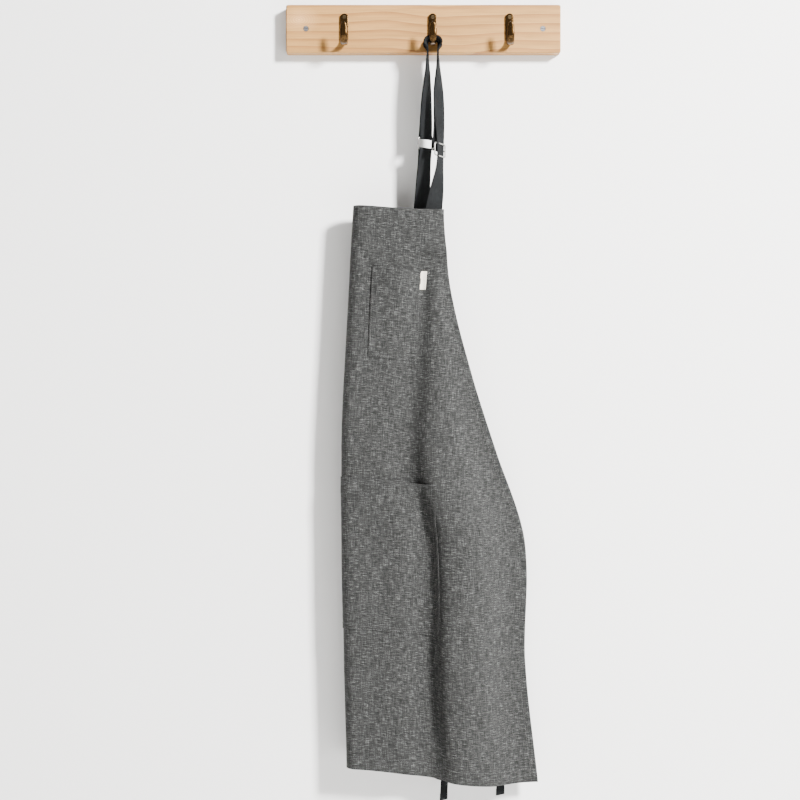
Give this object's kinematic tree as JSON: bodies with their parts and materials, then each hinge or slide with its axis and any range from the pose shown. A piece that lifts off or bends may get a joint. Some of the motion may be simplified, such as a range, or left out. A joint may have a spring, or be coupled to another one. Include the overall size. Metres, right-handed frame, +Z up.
{
  "type": "apron on a hook rail",
  "caption": "Folded bib apron in chambray linen with pockets, webbing ties and an adjustable neck strap, hung by the strap from the middle hook of a pine rail.",
  "frame": {"origin": "centre of the board's back face, on the wall", "axes": "+X along the board to the viewer's right, +Y into the wall, +Z up"},
  "size_m": [0.4, 0.072, 1.153],
  "materials": {
    "board": "satin",
    "hooks": "antique",
    "hook_screws": "dark",
    "wall_screws": "dark",
    "cloth": "chambray linen",
    "webbing": "woven tape",
    "buckle": "nickel",
    "label": "matte"
  },
  "bodies": {
    "rack": {"backboard": "board", "wall_screw_left": "wall_screws", "wall_screw_right": "wall_screws", "hook_left": "hooks", "hook_middle": "hooks", "hook_right": "hooks", "hook_screw_left_upper": "hook_screws", "hook_screw_left_lower": "hook_screws", "hook_screw_middle_upper": "hook_screws", "hook_screw_middle_lower": "hook_screws", "hook_screw_right_upper": "hook_screws", "hook_screw_right_lower": "hook_screws", "neck_strap_over_hook": "webbing"},
    "apron": {"apron_panel": "cloth", "chest_pocket": "cloth", "waist_pocket": "cloth", "side_label": "label", "neck_strap_front_run": "webbing", "neck_strap_return": "webbing", "neck_strap_rear_run": "webbing", "ring_strap": "webbing", "strap_ring": "buckle", "tie_front": "webbing", "tie_rear": "webbing"},
    "slider": {"strap_slider": "buckle", "strap_end_loop": "webbing"}
  },
  "joints": [
    {"name": "swing", "type": "hinge", "parent": "rack", "child": "apron", "pos_m": [0.0135, -0.036, -0.022], "axis": [0, 1, 0], "range_deg": [-15, 15]},
    {"name": "slider_travel", "type": "slide", "parent": "apron", "child": "slider", "axis": [0, 0.0499, 0.9988], "range_m": [-0.022, 0.05]}
  ]
}
